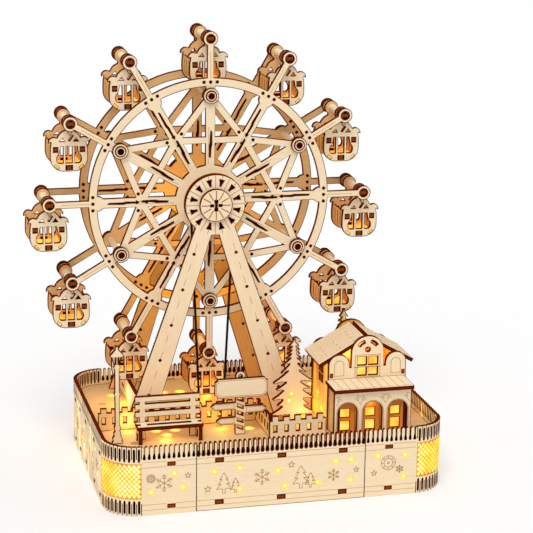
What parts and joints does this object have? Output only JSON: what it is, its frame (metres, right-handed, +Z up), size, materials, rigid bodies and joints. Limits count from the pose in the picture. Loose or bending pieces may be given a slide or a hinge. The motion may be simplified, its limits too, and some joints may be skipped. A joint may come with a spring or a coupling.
{
  "type": "laser-cut plywood ferris wheel model",
  "caption": "Tabletop plywood ferris wheel with hanging gondolas, belt drive, and a lit box base that carries a small house, bench and trees.",
  "frame": {"origin": "On the ground, under the middle of the front wall's thickness and of its width", "axes": "+X to the right seen from the front, +Y to the back, +Z up. The wheel turns about an axis along Y."},
  "size_m": [0.3227, 0.2045, 0.3635],
  "materials": {
    "birch_plywood": "raw laser-cut, burnt edges",
    "steel": "plain",
    "bronze": "plain",
    "black_rubber": "matt",
    "black_plastic": "satin"
  },
  "bodies": {
    "base": {"bottom_plate": "birch_plywood", "deck": "birch_plywood", "front_wall": "birch_plywood", "back_wall": "birch_plywood", "corner_front_left": "birch_plywood", "corner_front_right": "birch_plywood", "corner_back_left": "birch_plywood", "corner_back_right": "birch_plywood", "front_frame": "birch_plywood", "back_frame": "birch_plywood", "foot_rail_left": "birch_plywood", "foot_rail_right": "birch_plywood", "house_front": "birch_plywood", "house_back": "birch_plywood", "house_side_left": "birch_plywood", "house_side_right": "birch_plywood", "house_roof_left": "birch_plywood", "house_roof_right": "birch_plywood", "porch_front": "birch_plywood", "porch_side_left": "birch_plywood", "porch_side_right": "birch_plywood", "porch_roof": "birch_plywood", "tree_1": "birch_plywood", "tree_2": "birch_plywood", "tree_3": "birch_plywood", "lamp_post": "birch_plywood", "fence_row": "birch_plywood", "fence_front": "birch_plywood", "fence_side": "birch_plywood", "bench_back": "birch_plywood", "bench_seat": "birch_plywood", "bench_side_left": "birch_plywood", "bench_side_right": "birch_plywood", "sign_post": "birch_plywood", "sign_board": "birch_plywood", "front_bush": "bronze", "back_bush": "bronze", "drive_belt": "black_rubber", "motor": "steel", "battery_box": "black_plastic", "switch_case": "black_plastic"},
    "wheel": {"wheel_front": "birch_plywood", "wheel_back": "birch_plywood", "main_shaft": "steel", "hub_cap": "birch_plywood", "hub_pulley": "birch_plywood"},
    "drive_pulley": {"motor_pulley": "birch_plywood"},
    "switch": {"switch_lever": "black_plastic"},
    "car_01": {"gondola_01": "birch_plywood"},
    "car_02": {"gondola_02": "birch_plywood"},
    "car_03": {"gondola_03": "birch_plywood"},
    "car_04": {"gondola_04": "birch_plywood"},
    "car_05": {"gondola_05": "birch_plywood"},
    "car_06": {"gondola_06": "birch_plywood"},
    "car_07": {"gondola_07": "birch_plywood"},
    "car_08": {"gondola_08": "birch_plywood"},
    "car_09": {"gondola_09": "birch_plywood"},
    "car_10": {"gondola_10": "birch_plywood"},
    "car_11": {"gondola_11": "birch_plywood"},
    "car_12": {"gondola_12": "birch_plywood"}
  },
  "joints": [
    {"name": "wheel_spin", "type": "hinge", "parent": "base", "child": "wheel", "pos_m": [-0.034, 0.1403, 0.2254], "axis": [0, 1, 0], "continuous": true},
    {"name": "gondola_01_swing", "type": "hinge", "parent": "wheel", "child": "car_01", "pos_m": [-0.034, 0.1403, 0.3574], "axis": [0, 1, 0], "continuous": true},
    {"name": "gondola_02_swing", "type": "hinge", "parent": "wheel", "child": "car_02", "pos_m": [0.032, 0.1403, 0.33971], "axis": [0, 1, 0], "continuous": true},
    {"name": "gondola_03_swing", "type": "hinge", "parent": "wheel", "child": "car_03", "pos_m": [0.08031, 0.1403, 0.2914], "axis": [0, 1, 0], "continuous": true},
    {"name": "gondola_04_swing", "type": "hinge", "parent": "wheel", "child": "car_04", "pos_m": [0.098, 0.1403, 0.2254], "axis": [0, 1, 0], "continuous": true},
    {"name": "gondola_05_swing", "type": "hinge", "parent": "wheel", "child": "car_05", "pos_m": [0.08031, 0.1403, 0.1594], "axis": [0, 1, 0], "continuous": true},
    {"name": "gondola_06_swing", "type": "hinge", "parent": "wheel", "child": "car_06", "pos_m": [0.032, 0.1403, 0.11109], "axis": [0, 1, 0], "continuous": true},
    {"name": "gondola_07_swing", "type": "hinge", "parent": "wheel", "child": "car_07", "pos_m": [-0.034, 0.1403, 0.0934], "axis": [0, 1, 0], "continuous": true},
    {"name": "gondola_08_swing", "type": "hinge", "parent": "wheel", "child": "car_08", "pos_m": [-0.1, 0.1403, 0.11109], "axis": [0, 1, 0], "continuous": true},
    {"name": "gondola_09_swing", "type": "hinge", "parent": "wheel", "child": "car_09", "pos_m": [-0.14832, 0.1403, 0.1594], "axis": [0, 1, 0], "continuous": true},
    {"name": "gondola_10_swing", "type": "hinge", "parent": "wheel", "child": "car_10", "pos_m": [-0.166, 0.1403, 0.2254], "axis": [0, 1, 0], "continuous": true},
    {"name": "gondola_11_swing", "type": "hinge", "parent": "wheel", "child": "car_11", "pos_m": [-0.14832, 0.1403, 0.2914], "axis": [0, 1, 0], "continuous": true},
    {"name": "gondola_12_swing", "type": "hinge", "parent": "wheel", "child": "car_12", "pos_m": [-0.1, 0.1403, 0.33971], "axis": [0, 1, 0], "continuous": true},
    {"name": "motor_pulley_spin", "type": "hinge", "parent": "base", "child": "drive_pulley", "pos_m": [-0.034, 0.104, 0.022], "axis": [0, 1, 0], "continuous": true},
    {"name": "power_switch_slide", "type": "slide", "parent": "base", "child": "switch", "axis": [1, 0, 0], "range_m": [0, 0.003]}
  ],
  "couplings": [
    {"joint": "gondola_01_swing", "follows": "wheel_spin", "ratio": -1},
    {"joint": "gondola_02_swing", "follows": "wheel_spin", "ratio": -1},
    {"joint": "gondola_03_swing", "follows": "wheel_spin", "ratio": -1},
    {"joint": "gondola_04_swing", "follows": "wheel_spin", "ratio": -1},
    {"joint": "gondola_05_swing", "follows": "wheel_spin", "ratio": -1},
    {"joint": "gondola_06_swing", "follows": "wheel_spin", "ratio": -1},
    {"joint": "gondola_07_swing", "follows": "wheel_spin", "ratio": -1},
    {"joint": "gondola_08_swing", "follows": "wheel_spin", "ratio": -1},
    {"joint": "gondola_09_swing", "follows": "wheel_spin", "ratio": -1},
    {"joint": "gondola_10_swing", "follows": "wheel_spin", "ratio": -1},
    {"joint": "gondola_11_swing", "follows": "wheel_spin", "ratio": -1},
    {"joint": "gondola_12_swing", "follows": "wheel_spin", "ratio": -1},
    {"joint": "motor_pulley_spin", "follows": "wheel_spin", "ratio": 2.0333}
  ]
}
